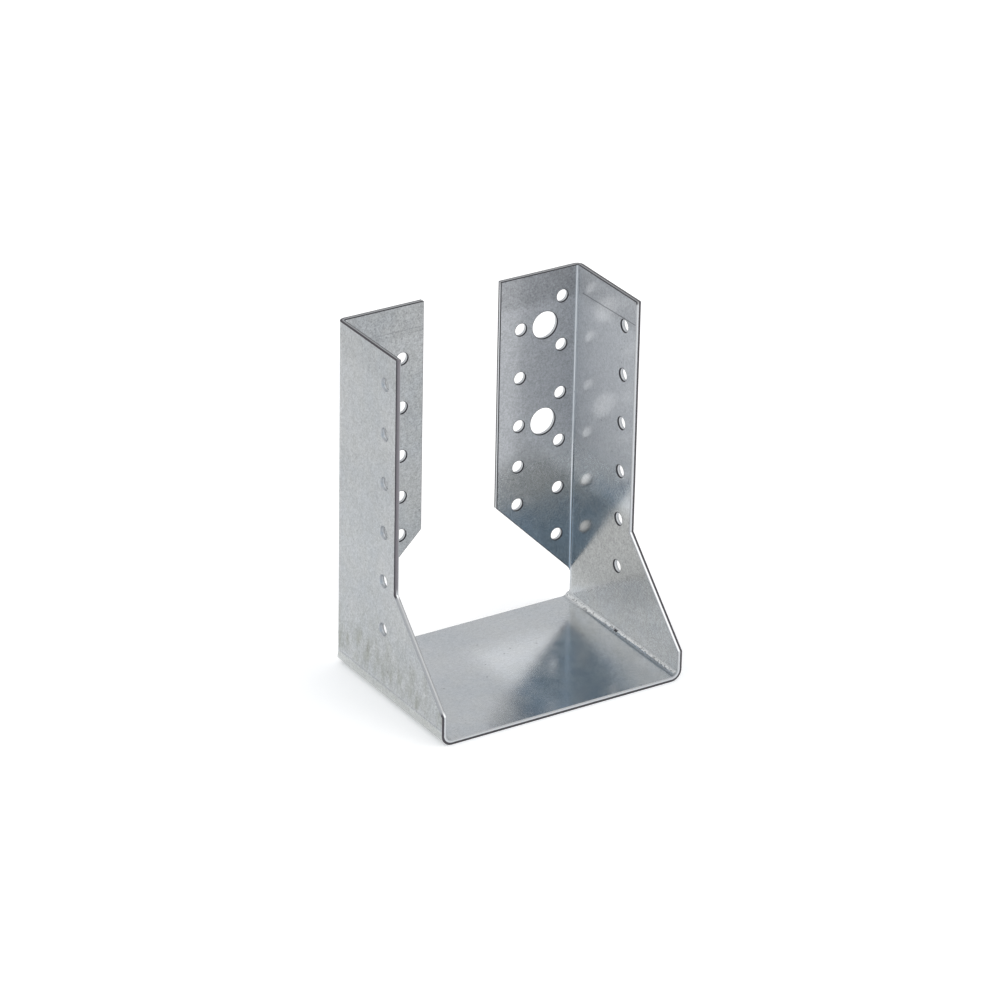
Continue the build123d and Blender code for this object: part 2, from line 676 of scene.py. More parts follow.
    @staticmethod
    def inside(points: np.ndarray, rings: list[np.ndarray]) -> np.ndarray:
        """Which points are in the sheet, by how many ring edges lie to their right.

        Args:
            points: The points.
            rings: The closed rings, the outline's and the holes'.

        Returns:
            True for each point in the sheet.
        """
        odd = np.zeros(len(points), bool)
        for ring in rings:
            for a, b in zip(ring, np.roll(ring, -1, axis=0)):
                spans = (a[1] > points[:, 1]) != (b[1] > points[:, 1])
                if a[1] == b[1] or not spans.any():
                    continue
                cut = a[0] + (points[:, 1] - a[1]) * (b[0] - a[0]) / (b[1] - a[1])
                odd ^= spans & (points[:, 0] < cut)
        return odd

    def triangulate(self, flat: np.ndarray, edges: list[tuple[int, int]],
                    holes: list[np.ndarray]) -> np.ndarray:
        """Constrained Delaunay triangles of the sheet.

        Args:
            flat: All points, the outline's band line first.
            edges: The edges that triangles mustn't cross.
            holes: The holes' closed rings.

        Returns:
            The triangles, anticlockwise.
        """
        scaled = [Vector((u / MM, v / MM)) for u, v in flat]
        vertices, _, faces, origins, _, _ = delaunay_2d_cdt(scaled, edges, [], 1, self.SAME_POINT)
        if len(vertices) != len(flat):
            LOG.warning("the triangulation has %d points for %d", len(vertices), len(flat))
        order = np.array([origin[0] for origin in origins])
        triangles = order[np.array(faces)]
        triangles = triangles[~self.inside(flat[triangles].mean(axis=1), holes)]
        a, b, c = (flat[triangles[:, k]] for k in range(3))
        area = (b[:, 0] - a[:, 0]) * (c[:, 1] - a[:, 1]) - (b[:, 1] - a[:, 1]) * (c[:, 0] - a[:, 0])
        triangles[area < 0] = triangles[area < 0][:, ::-1]
        return triangles


class FoldingTree(NodeBuilder):
    """The Geometry Nodes tree that punches the holes' rims into the flat blank and folds it."""

    BLANK_ATTRIBUTE = "blank"
    WALL_ATTRIBUTE = "hole_wall"
    EDGE_ATTRIBUTE = "outline_edge"
    WAVE_SPAN: Pair = (0.3, 0.7)

    def __init__(self, blank: Blank, holes: HolePattern, edge: CutEdge) -> None:
        """Builds the tree.

        Args:
            blank: The sheet's sizes.
            holes: The holes' sizes.
            edge: The section of a punched edge.
        """
        super().__init__(bpy.data.node_groups.new("punch_and_fold", "GeometryNodeTree"))
        self.identifiers: dict[str, str] = {}
        self.values: dict[str, object] = {}
        self.tree.interface.new_socket("Geometry", in_out="OUTPUT", socket_type="NodeSocketGeometry")
        self.tree.interface.new_socket("Blank", in_out="INPUT", socket_type="NodeSocketGeometry")
        for name, value in (
            ("Thickness", blank.thickness),
            ("Seat flat", blank.seat_flat),
            ("Seat bend", blank.seat_bend),
            ("Bend line", blank.bend_y),
            ("Flange bend", blank.flange_bend),
            ("Run-out start", 12.0 * MM),
            ("Run-out end", 16.5 * MM),
            ("Out of flat", 0.06 * MM),
            ("Out of flat length", 55.0 * MM),
            ("Seat margin", 25.0 * MM),
            ("Flange margin", 12.0 * MM),
            ("Nail hole", holes.nail_radius + edge.band),
            ("Bolt hole", holes.bolt_radius + edge.band),
            ("Merge", 0.004 * MM),
        ):
            self.add_input(name, "NodeSocketFloat", value)
        for name in ("Nail points", "Bolt points", "Rim section"):
            self.add_input(name, "NodeSocketObject", None)
        for name in ("Nail segments", "Bolt segments"):
            self.add_input(name, "NodeSocketInt", 0)
        self.add_input("Material", "NodeSocketMaterial", None)
        self.source = self.tree.nodes.new("NodeGroupInput")
        self.finish(self.fold(self.punch()))

    def add_input(self, name: str, kind: str, value: float | int | None) -> None:
        """Adds a named input of a socket type, with the value that it has unless the part sets another."""
        socket = self.tree.interface.new_socket(name, in_out="INPUT", socket_type=kind)
        self.identifiers[name] = socket.identifier
        self.values[name] = value

    def number(self, name: str) -> Value:
        """A named input as a number."""
        return Value(self.tree, self.source.outputs[name])

    def rims(self, kind: str) -> Socket:
        """Rims of one kind of hole, one on each of its points.

        Args:
            kind: Nail or Bolt.

        Returns:
            The rims, as real meshes.
        """
        outputs = self.source.outputs
        ring = self.add("GeometryNodeCurvePrimitiveCircle", Resolution=outputs[kind + " segments"],
                        Radius=outputs[kind + " hole"])
        level = self.add("GeometryNodeSetCurveNormal", mode="Z_UP", Curve=ring)
        section, centres = (
            self.node("GeometryNodeObjectInfo", Object=outputs[name]).outputs["Geometry"]
            for name in ("Rim section", kind + " points")
        )
        painted_dark_rim = self.add("GeometryNodeCurveToMesh", Curve=level, Profile_Curve=section)
        marked = self.add("GeometryNodeStoreNamedAttribute", data_type="FLOAT", domain="POINT", Geometry=painted_dark_rim,
                          Name=self.WALL_ATTRIBUTE, Value=1.0)
        placed = self.add("GeometryNodeInstanceOnPoints", Points=centres, Instance=marked)
        return self.add("GeometryNodeRealizeInstances", Geometry=placed)

    def punch(self) -> Socket:
        """Adds the holes' rims to the blank.

        Returns:
            The punched blank, still flat.
        """
        join = self.tree.nodes.new("GeometryNodeJoinGeometry")
        for geometry in (self.rims("Nail"), self.rims("Bolt"), self.source.outputs["Blank"]):
            self.tree.links.new(geometry, join.inputs["Geometry"])
        return self.add("GeometryNodeMergeByDistance", Geometry=join.outputs["Geometry"],
                        Distance=self.source.outputs["Merge"])

    def fold(self, flat: Socket) -> Socket:
        """Folds the flat blank: the flanges first, then the seat's bends.

        Args:
            flat: The punched blank.

        Returns:
            The folded sheet.
        """
        position = self.add("GeometryNodeInputPosition")
        u, v, depth = self.parts(position)
        seat_flat = self.number("Seat flat")
        seat_bend = self.number("Seat bend")
        bend_line = self.number("Bend line")
        half = self.number("Thickness") * 0.5
        quarter = math.radians(90)

        across = abs(u)
        seat_radius = seat_bend - half
        seat_arc = seat_radius * quarter
        plate = (across - seat_flat - seat_arc).most(0.0)
        past = v - bend_line
        flange_radius = self.number("Flange bend") - half
        flange_arc = flange_radius * quarter
        run = (past - flange_arc).most(0.0)

        off_seat = self.beyond(across, seat_flat, seat_arc)
        n = depth - self.out_of_flat(position, off_seat, self.beyond(past, 0.0, flange_arc))
        turn = past.most(0.0).least(flange_arc) / flange_radius
        bent_y = v.least(bend_line) + (flange_radius + n) * turn.maths("SINE")
        bent_n = (flange_radius + n) * turn.maths("COSINE") - flange_radius - run
        formed = self.rise_over(plate + seat_bend + past, "Run-out end", "Run-out start")
        y = formed.blend(v, bent_y)
        side_n = formed.blend(n, bent_n)

        seat_turn = (across - seat_flat).most(0.0).least(seat_arc) / seat_radius
        x = across.least(seat_flat) + (seat_radius + side_n) * seat_turn.maths("SINE")
        z = seat_bend - (seat_radius + side_n) * seat_turn.maths("COSINE") + plate
        kept = self.add("GeometryNodeStoreNamedAttribute", data_type="FLOAT_VECTOR", domain="POINT",
                        Geometry=flat, Name=self.BLANK_ATTRIBUTE, Value=position)
        folded = self.point(x * u.maths("SIGN"), y, z)
        return self.add("GeometryNodeSetPosition", Geometry=kept, Position=folded)

    def rise_over(self, number: Value, high: str, low: str | None = None) -> Value:
        """Smooth rise from 0 to 1 of a number between two named inputs.

        Args:
            number: The number.
            high: The input at which the rise ends.
            low: The input at which it begins, or None for 0.

        Returns:
            The risen number.
        """
        rise = number.ramp(0.0, 1.0)
        inputs = rise.socket.node.inputs
        self.number(high).feed(inputs["From Max"])
        if low is not None:
            self.number(low).feed(inputs["From Min"])
        return rise

    @staticmethod
    def beyond(place: Value, start: Value | float, arc: Value) -> Value:
        """How far a place is outside a bend, on either side of it."""
        return abs(place - (arc * 0.5 + start)) - arc * 0.5

    def out_of_flat(self, position: Socket, off_seat: Value, off_flange: Value) -> Value:
        """How far the sheet is out of flat, inwards.

        Args:
            position: Blank coordinates.
            off_seat: How far the place is outside the seat's bend.
            off_flange: How far it is outside the flange's bend.

        Returns:
            The distance, which is 0 at every bend.
        """
        level = self.vector("MULTIPLY", position, (1.0, 1.0, 0.0)).outputs[0]
        scale = self.number("Out of flat length").maths("POWER", -1.0)
        noise = Value(self.tree, self.add("ShaderNodeTexNoise", Vector=level, Scale=scale, Detail=1.0))
        wave = noise.ramp(*self.WAVE_SPAN) * self.number("Out of flat")
        return wave * self.rise_over(off_seat, "Seat margin") * self.rise_over(off_flange, "Flange margin")

    def finish(self, folded: Socket) -> None:
        """Ends the tree with a smooth mesh in its material. Folding turned it over, so its faces flip.

        Args:
            folded: The folded sheet.
        """
        flipped = self.add("GeometryNodeFlipFaces", Mesh=folded)
        smooth = self.add("GeometryNodeSetShadeSmooth", Geometry=flipped)
        whole = self.add("GeometryNodeRealizeInstances", Geometry=smooth)
        material = self.source.outputs["Material"]
        dressed = self.add("GeometryNodeSetMaterial", Geometry=whole, Material=material)
        result = self.tree.nodes.new("NodeGroupOutput")
        self.tree.links.new(dressed, result.inputs[0])

    def apply(self, piece: bpy.types.Object, **given: object) -> bpy.types.Mesh:
        """Runs the tree on a piece.

        Args:
            piece: The object whose mesh is the flat blank.
            given: Inputs that the part sets itself, by name with underscores.

        Returns:
            The folded sheet as a plain mesh.
        """
        modifier = piece.modifiers.new("punch_and_fold", "NODES")
        modifier.node_group = self.tree
        given = {name.replace("_", " "): value for name, value in given.items()}
        for name, value in (self.values | given).items():
            modifier[self.identifiers[name]] = value
        graph = bpy.context.evaluated_depsgraph_get()
        mesh = bpy.data.meshes.new_from_object(piece.evaluated_get(graph), depsgraph=graph)
        piece.modifiers.remove(modifier)
        return mesh


class ShaderTree(NodeBuilder):
    """A material's or a world's node tree, with short ways to add textures and mixes to it."""

    # The mix node has inputs and outputs of the same name for each type of data, so its colours go by place.
    COLOUR_INPUTS = (6, 7)
    COLOUR_OUTPUT = 2

    def attribute(self, name: str, output: str) -> Socket:
        """Reads an attribute that the mesh carries."""
        return self.node("ShaderNodeAttribute", attribute_name=name).outputs[output]

    def noise(self, place: Socket, length: float, detail: float) -> Value:
        """Noise whose features are about as large as a length."""
        texture = self.add("ShaderNodeTexNoise", Vector=place, Scale=1.0 / length, Detail=detail)
        return Value(self.tree, texture)

    def cells(self, place: Socket, length: float) -> tuple[Value, Value]:
        """Cells about as large as a length: the distance to a cell's centre, and the cell's random number."""
        outputs = self.node("ShaderNodeTexVoronoi", Vector=place, Scale=1.0 / length).outputs
        return Value(self.tree, outputs["Distance"]) * length, self.parts(outputs["Color"])[0]

    def shaded(self, colour: Socket, shade: Value) -> Socket:
        """A colour times a number."""
        return self.add("ShaderNodeVectorMath", operation="SCALE", Vector=colour, Scale=shade)

    def mix(self, share: Value, start: Colour | Socket, end: Colour | Socket) -> Socket:
        """Mixes two colours.

        Args:
            share: 0 for the first colour, 1 for the second.
            start: The first colour.
            end: The second colour.

        Returns:
            The mixed colour.
        """
        node = self.node("ShaderNodeMix", data_type="RGBA", Factor=share)
        for place, colour in zip(self.COLOUR_INPUTS, (start, end)):
            self.plug(node.inputs[place], colour)
        return node.outputs[self.COLOUR_OUTPUT]


@dataclass(frozen=True)
class Scribe:
    """A faint line scribed across the blank: its u where v is 0, in millimetres, and how u falls with v."""

    start: float
    fall: float
    strength: float


@dataclass(frozen=True)
class Mottle:
    """A noise over the zinc: its length, its detail and the part of its range that goes from least to 1."""

    length: float
    detail: float
    span: Pair
    least: float = 0.0


@dataclass(frozen=True)
class Reach:
    """A mark's reach along one measure of the sheet: where it is at its least, and where it is full."""

    measure: str
    faint: float
    full: float
    least: float = 0.0


@dataclass(frozen=True)
class Tint:
    """A colour that a mark mixes in, and how much of it."""

    mark: str
    share: float
    colour: Colour


@dataclass(frozen=True)
class GalvanisedSteel:
    """Zinc-coated sheet: cool grey, clouded, grained and spangled, stained low down, with sheared edges, and
    with painted shade, highlights and reflections in places.

    Lengths are in millimetres of the blank. A mark is a number from 0 to 1 over the sheet. MARKS makes each
    from its reaches and from marks that are there already, and the tables after it say what the marks do.
    """

    zinc: Colour = (0.555, 0.572, 0.586)
    burnished: Colour = (0.600, 0.620, 0.640)
    face_gap: float = 400.0
    spangle_length: float = 1.0
    least_busy: float = 0.6
    streak_turn: float = 10.0
    streak: Mottle = Mottle(1.0, 3.0, (0.40, 0.68))
    streak_lengths: Pair = (12.0, 1.1)
    blotch_lengths: Pair = (15.0, 4.0)
    least_stained: float = 0.06
    press_line: float = 6.5
    # Slope of the edge of the painted dark reflection on the right plate.
    mirror_slope: float = 0.51
    film_rise: float = 7.0
    flange_span: Pair = (-1.0, 5.0)
    wander: Pair = (5.0, 4.0)
    scribes: tuple[Scribe, ...] = (
        Scribe(181.7, 0.025, 1.0), Scribe(-181.3, 0.0, 0.4), Scribe(-179.6, 0.004, 0.25))
    scribe_span: Pair = (0.38, 0.12)
    pit_spacing: float = 5.0
    pit_span: Pair = (0.46, 0.184)
    pit_chance: Pair = (0.50, 0.55)
    least_pitted: float = 0.5
    pit_dark: float = 0.85
    crumb_dark: float = 0.62
    galled_place: float = 2.5
    galled_slimness: float = 0.6
    rag: Pair = (0.9, 2.0)
    rag_contrast: float = 0.4
    rag_reach: float = 0.5
    crown_tear: float = 0.3
    tear_span: Pair = (-0.05, 0.20)
    smooth_tear: float = 0.8
    wall_roll: float = 0.15
    # The rolled rim's painted shade is at least this share of full.
    least_rim: float = 0.35
    roughness: float = 0.14
    cut_roughness: float = 0.20

    MOTTLES: ClassVar[dict[str, Mottle]] = {
        "cloud": Mottle(24.0, 3.0, (0.36, 0.66)),
        "patch": Mottle(7.0, 4.0, (0.34, 0.68)),
        "grain": Mottle(0.6, 2.0, (0.25, 0.75)),
        "broken": Mottle(1.6, 3.0, (0.40, 0.55), 0.1),
        "crumbled": Mottle(0.9, 2.0, (0.56, 0.62)),
    }
    MARKS: ClassVar[dict[str, tuple[Reach | str, ...]]] = {
        "inner": (Reach("n", -0.96, -0.99),),
        "outer": (Reach("n", 0.96, 0.99),),
        "left": (Reach("u", 2.0, -2.0),),
        "right": (Reach("u", -2.0, 2.0),),
        "above_tab": (Reach("height", 8.0, 12.0),),
        "plate": (Reach("past", 0.0, -1.0),),
        "flange": (Reach("past", *flange_span), "above_tab"),
        "left_plate": ("left", "plate"),
        "right_plate": ("right", "plate"),
        "left_flange": ("left", "flange"),
        "above_seat": (Reach("height", -4.0, 8.0),),
        # The left side: rougher and more pitted, and darkened as painted shade for the darker floor that it
        # reflects.
        "dull_and_shaded": (Reach("u", -30.0, -95.0),),
        "dull_grain": ("dull_and_shaded", "grain"),
        "top": (Reach("side", 177.0, 181.0),),
        "top_right": ("top", "right"),
        # Painted shade: the flanges darker higher up.
        "painted_shade_high_flange": (Reach("height", 55.0, 110.0, 0.4), "flange"),
        # Painted shade: the left plate darker high up.
        "painted_shade_high_left": (Reach("height", 50.0, 90.0), "left_plate"),
        # Painted shade: the right plate darker low down.
        "painted_shade_low_right": (Reach("height", 3.0, 22.0), Reach("height", 58.0, 50.0), "right_plate"),
        # Painted reflection: a warm, darker patch on the right plate's inner face, edged along the mirror
        # line, for the shaded floor that it reflects.
        "painted_dark_reflection": (Reach("mirror_line", 22.5, 26.5), Reach("height", 60.0, 48.0), "right_plate", "inner"),
        # Painted light: the seat's inner face lighter towards the front.
        "painted_light_seat_front": (Reach("u", -14.0, 0.0), Reach("u", 44.0, 30.0), Reach("v", 24.0, 6.0), "inner"),
        "film": (Reach("film_height", 58.0, 84.0), "right", "inner"),
        "filmed_plate": ("film", "plate"),
        # Painted shade on the filmed flange, and painted light on the filmed plate high up.
        "painted_shade_filmed_flange": ("film", "flange"),
        "painted_light_filmed_head": (Reach("height", 75.0, 110.0), "filmed_plate"),
        "over_line": (Reach("height", press_line, press_line + 1.5), "outer"),
        "stain": (Reach("height", 40.0, 10.0), Reach("u", -50.0, -60.0, 0.25), "over_line"),
        "blotched": ("blotch", "patch"),
        "foot": (Reach("height", press_line, press_line - 1.0), "outer", "left"),
        "pressed": (Reach("off_press_line", 0.55, 0.15), "outer"),
        # Painted shade in the middle of the seat fold's inner face.
        "painted_shade_seat_fold": (Reach("seat_fold_share", 0.6, 0.3), "inner"),
        # Painted highlight: a light line along the flange fold's inner face.
        "painted_highlight_flange_fold": (Reach("flange_fold_share", 0.6, 0.4), "inner", "above_tab"),
        "right_end": (Reach("v", 32.0, 33.5), "right"),
        # A rough broken line along the seat fold: galling, whose light colour is a painted highlight.
        "galled_line_and_highlight": (Reach("off_nose_line", 0.40, 0.10), "broken", "inner"),
        "crumbs": (Reach("off_fold", 1.1, 0.6), "crumbled", "inner"),
        "galled": (Reach("off_galled", 0.75, 0.50), "inner"),
        "cut": (Reach("cut", 0.70, 0.90),),
        "left_wall": ("wall", "left_plate"),
        # The top edges: more torn and with their rim painted dark, and a darker grey painted as shade.
        "crown": (Reach("height", 140.5, 141.5), "off_wall"),
        "crowned_flange": ("crown", "flange"),
        # The left plate's slanted cut edge: smoother tear and rougher, with a darker grey painted as shade.
        "slant": (Reach("height", 12.5, 14.0), Reach("height", 46.5, 45.5), "left_plate", "off_wall"),
        "front_edge": (Reach("off_plate_front", 0.85, 0.35), Reach("height", 46.0, 50.0), "left"),
        "back_end": (Reach("v", 30.0, 34.0),),
        "rolled": (Reach("rolled_n", -0.40, -0.65),),
        # A darker grey band across the middle of the left plate's upper front edge.
        "dark_front_edge_band": (Reach("ragged_n", -0.75, -0.50), Reach("n", 0.75, 0.55), "front_edge"),
    }
    FACE_TINTS: ClassVar[tuple[Tint, ...]] = (
        Tint("cloud", 0.7, (0.500, 0.527, 0.550)),
        Tint("patch", 0.4, (0.560, 0.570, 0.560)),
        Tint("stained", 1.0, (0.340, 0.350, 0.315)),
        Tint("foot", 0.6, (0.575, 0.585, 0.555)),
        # Painted reflection: the warm grey of the right plate's dark patch.
        Tint("painted_dark_reflection", 0.8, (0.560, 0.570, 0.560)),
        Tint("film", 1.0, (0.530, 0.542, 0.562)),
    )
    LINE_TINTS: ClassVar[tuple[Tint, ...]] = (
        # Painted highlight along the flange fold.
        Tint("painted_highlight_flange_fold", 0.8, (0.640, 0.670, 0.700)),
        Tint("scribe", 0.7, (0.150, 0.155, 0.165)),
        # The galled line's light colour is a painted highlight.
        Tint("galled_line_and_highlight", 0.6, (0.600, 0.620, 0.640)),
        Tint("pitted", 1.0, (0.050, 0.050, 0.055)),
    )
    EDGE_TINTS: ClassVar[tuple[Tint, ...]] = (
        # Painted shade: the left plate's slanted cut edge darker grey than the other cut edges.
        Tint("slant", 1.0, (0.470, 0.480, 0.490)),
        # Painted shade: the top edges darker grey than the other cut edges.
        Tint("crown", 1.0, (0.350, 0.355, 0.360)),
        Tint("tear", 1.0, (0.085, 0.080, 0.088)),
        # Painted shade: the rolled rim of the cut edges nearly black.
        Tint("painted_dark_rim", 1.0, (0.055, 0.055, 0.062)),
        # A darker grey on the left plate's upper front edge.
        Tint("dark_front_edge_band", 1.0, (0.245, 0.232, 0.250)),
    )
    STAINED: ClassVar[dict[str, float]] = {"blotched": 0.55, "blotch": 0.30, "streak": 0.18}
    SPECKLE: ClassVar[dict[str, float]] = {"grain": 0.26, "spangle": 0.12}
    BUSY: ClassVar[dict[str, float]] = {"left_flange": 0.2, "stain": 0.3, "above_seat": 0.4}
    SHADE: ClassVar[dict[str, float]] = {
        # Painted shade darkens the left side, the flanges and the left plate high up, the right plate low
        # down with its dark reflection, the filmed flange and the seat fold; painted light brightens the
        # seat's front and the filmed plate high up.
        "dull_and_shaded": -0.17, "pressed": -0.16, "painted_shade_high_flange": -0.10, "top": -0.05, "top_right": -0.14,
        "painted_light_seat_front": 0.30, "streak": -0.02, "painted_shade_low_right": -0.23, "painted_dark_reflection": -0.13, "painted_shade_filmed_flange": -0.06,
        "painted_light_filmed_head": 0.09, "painted_shade_high_left": -0.07, "painted_shade_seat_fold": -0.14,
    }
    PIT_FACES: ClassVar[dict[str, float]] = {"inner": 1.0, "outer": 0.4}
    PIT_SIDES: ClassVar[dict[str, float]] = {"dull_and_shaded": 0.5}
    # Where the rolled rim is painted dark: fully on hole walls, half as much on the left plate's.
    SEEN_RIM: ClassVar[dict[str, float]] = {"wall": 1.0, "left_wall": -0.5}
    WALL_RIM: ClassVar[dict[str, float]] = {"left_wall": -0.3}
    ROUGH: ClassVar[dict[str, float]] = {
        "patch": 0.04, "grain": 0.05, "dull_grain": 0.08, "stain": 0.12, "dull_and_shaded": 0.14, "galled_line_and_highlight": 0.2}
    CUT_ROUGH: ClassVar[dict[str, float]] = {"tear": 0.25, "wall": 0.3, "front_edge": 0.3, "slant": 0.3}
    METAL: ClassVar[dict[str, float]] = {"film": -0.55, "filmed_plate": -0.26}
    RELIEF: ClassVar[dict[str, float]] = {
        "patch": 0.003, "grain": 0.001, "dull_grain": 0.003, "scribe": -0.03, "pit": -0.06, "galled": -0.06,
        "galled_line_and_highlight": -0.02, "rag": 0.06, "pressed": -0.01,
    }

    def material(self, blank: Blank) -> bpy.types.Material:
        """The finish as a node material for a sheet."""
        return ZincShader(self, blank).material


class ZincShader(ShaderTree):
    """The nodes of the zinc's material: the sheet's measures, the marks placed by them and their effects."""

    def __init__(self, steel: GalvanisedSteel, blank: Blank) -> None:
        """Makes the material.

        Args:
            steel: The finish.
            blank: The sheet, whose bends and edges place the marks.
        """
        self.material = bpy.data.materials.new(SLOT)
        self.material.use_nodes = True
        super().__init__(self.material.node_tree)
        self.steel = steel
        flat = self.vector("MULTIPLY", self.attribute(FoldingTree.BLANK_ATTRIBUTE, "Vector"), (1 / MM,) * 3)
        self.u, self.v, self.n = self.parts(flat.outputs[0])
        self.place = self.point(self.u, self.v, self.n + self.n.maths("SIGN") * steel.face_gap)
        self.ragged = (self.noise(self.place, *steel.rag) - 0.5) * steel.rag_contrast
        self.marks = self.textures()
        self.measures = self.measure(blank)
        for name, factors in steel.MARKS.items():
            self.marks[name] = self.product(factors)
        self.combine()
        self.dress()

    def textures(self) -> dict[str, Value]:
        """The marks that cover the whole sheet.

        Returns:
            The marks by name.
        """
        wall = Value(self.tree, self.attribute(FoldingTree.WALL_ATTRIBUTE, "Fac"))
        marks = {name: self.mottled(self.place, mottle) for name, mottle in self.steel.MOTTLES.items()}
        return marks | {
            "spangle": self.cells(self.place, self.steel.spangle_length)[1],
            "streak": self.streaks(self.steel.streak_lengths),
            "blotch": self.streaks(self.steel.blotch_lengths),
            "wall": wall,
            "off_wall": 1.0 - wall,
        }

    def mottled(self, place: Socket, mottle: Mottle) -> Value:
        """A mottle's noise at a place, spread over its range."""
        return self.noise(place, mottle.length, mottle.detail).ramp(*mottle.span, mottle.least, 1.0)

    def streaks(self, lengths: Pair) -> Value:
        """Streaks that run nearly straight up the side plates.

        Args:
            lengths: How long and how wide the streaks are.

        Returns:
            The streaks, from 0 to 1.
        """
        turn = math.radians(self.steel.streak_turn)
        along = self.u * math.cos(turn) + self.v * math.sin(turn)
        across = self.v * math.cos(turn) - self.u * math.sin(turn)
        place = self.add("ShaderNodeCombineXYZ", X=along / lengths[0], Y=across / lengths[1])
        return self.mottled(place, self.steel.streak)

    def measure(self, blank: Blank) -> dict[str, Value]:
        """The measures that the marks are placed by, in millimetres, and two that are shares of a bend.

        Args:
            blank: The sheet.

        Returns:
            The measures by name.
        """
        u, v, n, steel, wall = self.u, self.v, self.n, self.steel, self.marks["wall"]
        outline = Value(self.tree, self.attribute(FoldingTree.EDGE_ATTRIBUTE, "Fac"))
        side = abs(u)
        height = side - (blank.seat_flat + blank.seat_arc - blank.seat_bend) / MM
        past = v - blank.bend_y / MM
        fold = (blank.seat_flat + blank.seat_arc / 2) / MM
        off_flange_fold = abs(past - blank.flange_arc / MM / 2)
        wander = self.noise(self.place, *steel.wander) - 0.5
        off_galled = abs(u - fold).most(abs(v - steel.galled_place) * steel.galled_slimness)
        return {
            "u": u, "v": v, "n": n, "side": side, "height": height, "past": past, "off_galled": off_galled,
            "off_fold": abs(side - fold), "off_nose_line": abs(side - fold + wander),
            "seat_fold_share": abs(side - fold) / (blank.seat_arc / MM),
            "flange_fold_share": off_flange_fold / (blank.flange_arc / MM),
            "off_press_line": abs(height - steel.press_line),
            "off_plate_front": v - (blank.header_y - blank.plate_depth) / MM,
            "mirror_line": height + v * steel.mirror_slope,
            "film_height": height + past.ramp(*steel.flange_span) * steel.film_rise,
            "cut": wall.most(outline), "rolled_n": n - wall * steel.wall_roll,
            "ragged_n": n + self.ragged * steel.rag_reach,
        }

    def product(self, factors: tuple[Reach | str, ...]) -> Value:
        """A mark as the product of reaches and other marks.

        Args:
            factors: The reaches, and the other marks' names.

        Returns:
            The mark.
        """
        values = [
            self.marks[factor] if isinstance(factor, str)
            else self.measures[factor.measure].ramp(factor.faint, factor.full, factor.least, 1.0)
            for factor in factors
        ]
        return math.prod(values[1:], start=values[0])

    def total(self, shares: dict[str, float], start: Value | float) -> Value:
        """A start with shares of marks added.

        Args:
            shares: How much of each mark is added.
            start: What they are added to.

        Returns:
            The sum.
        """
        for name, share in shares.items():
            start = self.marks[name] * share + start
        return start

    def tinted(self, colour: Colour | Socket, tints: tuple[Tint, ...]) -> Socket:
        """A colour with tints mixed in, one after another.

        Args:
            colour: The colour to start from.
            tints: The tints, in order.

        Returns:
            The tinted colour.
        """
        for tint in tints:
            colour = self.mix(self.marks[tint.mark] * tint.share, colour, tint.colour)
        return colour

    def combine(self) -> None:
        """Adds the marks that are more than a product: stains, lines, pits, the parts of the edge and the
        rolled rim's painted shade.
        """
        steel, marks = self.steel, self.marks
        marks["stained"] = marks["stain"] * self.total(steel.STAINED, steel.least_stained)
        lines = [
            abs(self.u - scribe.start + self.v * scribe.fall).ramp(*steel.scribe_span, 0.0, scribe.strength)
            for scribe in steel.scribes
        ]
        marks["scribe"] = functools.reduce(Value.most, lines) * marks["inner"] * (1.0 - marks["right_end"])
        away, chance = self.cells(self.place, steel.pit_spacing)
        pits = away.ramp(*steel.pit_span) * chance.ramp(*steel.pit_chance)
        pits = pits * self.total(steel.PIT_FACES, 0.0) * self.total(steel.PIT_SIDES, steel.least_pitted)
        marks["pit"] = pits.most(marks["crumbs"] * steel.crumb_dark)
        marks["pitted"] = (marks["pit"] * steel.pit_dark).most(marks["galled"])
        tear = (self.measures["ragged_n"] - marks["crowned_flange"] * steel.crown_tear).ramp(*steel.tear_span)
        marks["tear"] = tear * (1.0 - marks["wall"].most(marks["slant"]) * steel.smooth_tear)
        marks["rag"] = self.ragged * marks["tear"] * marks["cut"]
        # Painted shade: the rolled rim is painted nearly black, fully on hole walls and on the top and back
        # edges, less on the left plate's walls.
        seen = self.total(steel.SEEN_RIM, 0.0).most(marks["crown"]).most(marks["back_end"])
        seen = seen * (1.0 - steel.least_rim) + steel.least_rim
        marks["painted_dark_rim"] = marks["rolled"] * seen * self.total(steel.WALL_RIM, 1.0)

    def dress(self) -> None:
        """Feeds the shader from the marks."""
        steel, marks = self.steel, self.marks
        inputs = self.tree.nodes["Principled BSDF"].inputs
        speckle = self.total(steel.SPECKLE, -sum(steel.SPECKLE.values()) / 2)
        shade = self.total(steel.SHADE, speckle * self.total(steel.BUSY, steel.least_busy) + 1.0)
        faces = self.tinted(self.shaded(self.tinted(steel.zinc, steel.FACE_TINTS), shade), steel.LINE_TINTS)
        edges = self.tinted(steel.burnished, steel.EDGE_TINTS)
        self.plug(inputs["Base Color"], self.mix(marks["cut"], faces, edges))
        rough = self.total(steel.ROUGH, steel.roughness)
        marks["cut"].blend(rough, self.total(steel.CUT_ROUGH, steel.cut_roughness)).feed(inputs["Roughness"])
        self.total(steel.METAL, 1.0).feed(inputs["Metallic"])
        bump = self.add("ShaderNodeBump", Distance=MM, Height=self.total(steel.RELIEF, 0.0))
        self.plug(inputs["Normal"], bump)


